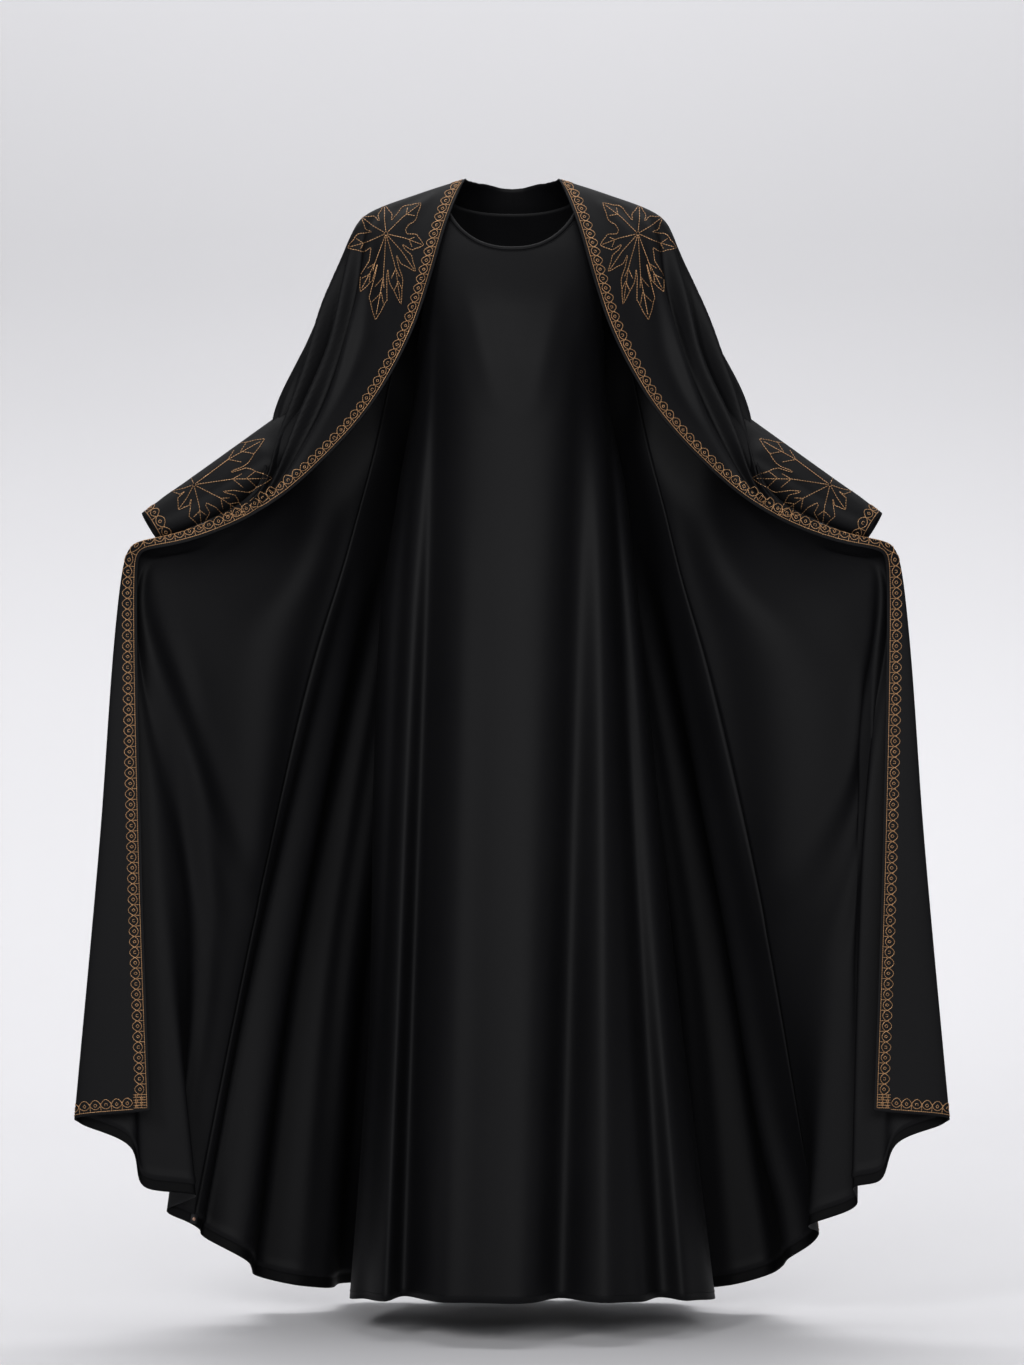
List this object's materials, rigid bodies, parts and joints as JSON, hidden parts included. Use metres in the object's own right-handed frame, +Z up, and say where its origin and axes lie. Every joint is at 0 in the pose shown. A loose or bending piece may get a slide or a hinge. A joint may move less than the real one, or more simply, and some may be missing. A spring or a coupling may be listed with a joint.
{
  "type": "abaya with inner dress",
  "caption": "Black satin open abaya robe, front edges lifted out to the sides, over a matching sleeveless floor-length dress, with bronze thread borders.",
  "frame": {"origin": "the middle of the neck, level with the shoulder seams, where the wearer holds the garment up", "axes": "+Z up, -Y towards the open front, +X to the viewer's right"},
  "size_m": [1.1284, 0.4859, 1.4731],
  "materials": {
    "robe_cloth": "soft satin sheen",
    "dress_cloth": "soft satin sheen",
    "thread": "bronze metallic thread embroidery"
  },
  "bodies": {
    "root": {"robe_left_upper": "robe_cloth", "robe_left_lower": "robe_cloth", "robe_back": "robe_cloth", "robe_right_upper": "robe_cloth", "robe_right_lower": "robe_cloth", "sleeve_left": "robe_cloth", "sleeve_right": "robe_cloth", "dress_front_upper": "dress_cloth", "dress_front_lower": "dress_cloth", "dress_back_upper": "dress_cloth", "dress_back_lower": "dress_cloth", "dress_neck_binding": "dress_cloth", "front_border_left": "thread", "front_border_right": "thread", "hem_border_left": "thread", "hem_border_back": "thread", "hem_border_right": "thread", "neck_border_left": "thread", "neck_border_back": "thread", "neck_border_right": "thread", "cuff_border_left": "thread", "cuff_border_right": "thread"}
  },
  "joints": []
}
